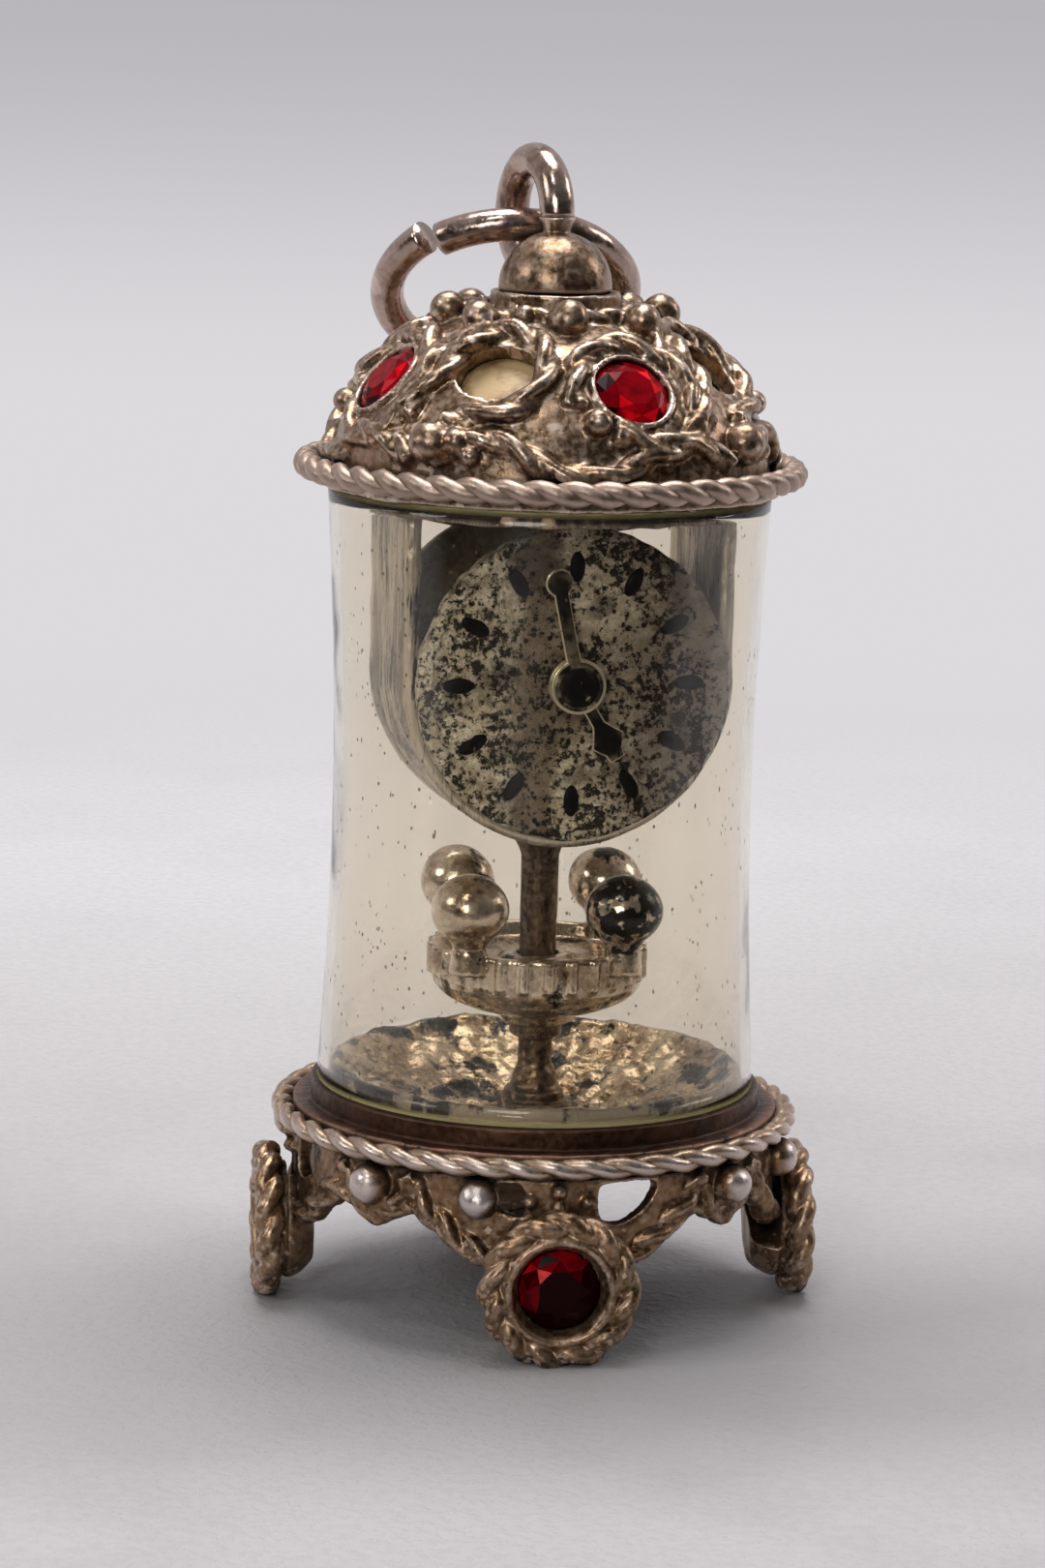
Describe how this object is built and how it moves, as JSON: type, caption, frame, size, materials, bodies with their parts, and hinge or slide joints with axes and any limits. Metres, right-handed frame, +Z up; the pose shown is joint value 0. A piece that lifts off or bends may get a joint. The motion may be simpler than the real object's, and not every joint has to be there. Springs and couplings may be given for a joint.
{
  "type": "mantel clock charm",
  "caption": "Silver clock charm: a dial and a turning ball pendulum in a clear tube, under a domed openwork lid with a hanging ring, on a pierced base with round stone-set feet.",
  "frame": {"origin": "on the ground, in the middle of the feet, below the centre of the base plate", "axes": "+Z up along the tube, -Y towards the front foot and the dial, +X to the right seen from the front"},
  "size_m": [0.0144, 0.0144, 0.0296],
  "materials": {
    "lid_silver": "tarnished cast silver, warm tan in the recesses and rubbed bright on the high points",
    "base_silver": "cast silver with a pinkish brown tarnish, dark in the recesses",
    "copper_flush": "satin, flushed copper pink where the plating has worn, blotchy",
    "bright_wire": "smooth round silver wire, bright with handling",
    "grey_silver": "dull grey silver, pitted with black tarnish",
    "black_enamel": "black enamel with thin worn silver edges",
    "clear_tube": "clear tube yellowed with age, with fine vertical scratches",
    "red_glass": "faceted crimson glass stone"
  },
  "bodies": {
    "case": {"base_plate": "copper_flush", "base_rope_rim": "base_silver", "gallery_panel_front": "base_silver", "gallery_panel_right": "base_silver", "gallery_panel_back": "base_silver", "gallery_panel_left": "base_silver", "foot_front": "base_silver", "foot_right": "base_silver", "foot_back": "base_silver", "foot_left": "base_silver", "foot_stone_front": "red_glass", "foot_stone_right": "red_glass", "foot_stone_back": "red_glass", "foot_stone_left": "red_glass", "pedestal": "base_silver", "pendulum_post": "grey_silver", "clear_tube": "clear_tube", "cradle_strap": "grey_silver", "cradle_plate": "grey_silver", "back_plate": "grey_silver", "dial_plate": "grey_silver", "hand_arbor": "black_enamel", "lid": "lid_silver", "lid_rope_rim": "lid_silver", "lid_stone_front": "red_glass", "lid_stone_right": "red_glass", "lid_stone_back": "red_glass", "lid_stone_left": "red_glass", "finial": "lid_silver", "bail": "bright_wire"},
    "pendulum": {"pendulum": "base_silver"},
    "minute_hand": {"minute_hand": "black_enamel"},
    "hour_hand": {"hour_hand": "black_enamel"},
    "jump_ring": {"jump_ring": "bright_wire"}
  },
  "joints": [
    {"name": "pendulum_turn", "type": "hinge", "parent": "case", "child": "pendulum", "pos_m": [0, 0, 0.008], "axis": [0, 0, 1], "continuous": true},
    {"name": "minute_hand_turn", "type": "hinge", "parent": "case", "child": "minute_hand", "pos_m": [0, 0, 0.01633], "axis": [0.1616, -0.9869, 0], "continuous": true},
    {"name": "hour_hand_turn", "type": "hinge", "parent": "case", "child": "hour_hand", "pos_m": [0, 0, 0.01633], "axis": [0.1616, -0.9869, 0], "continuous": true},
    {"name": "jump_ring_swing", "type": "hinge", "parent": "case", "child": "jump_ring", "pos_m": [-0.00044, 0.00127, 0.02756], "axis": [1, 0, 0], "range_deg": [0, 230]}
  ]
}
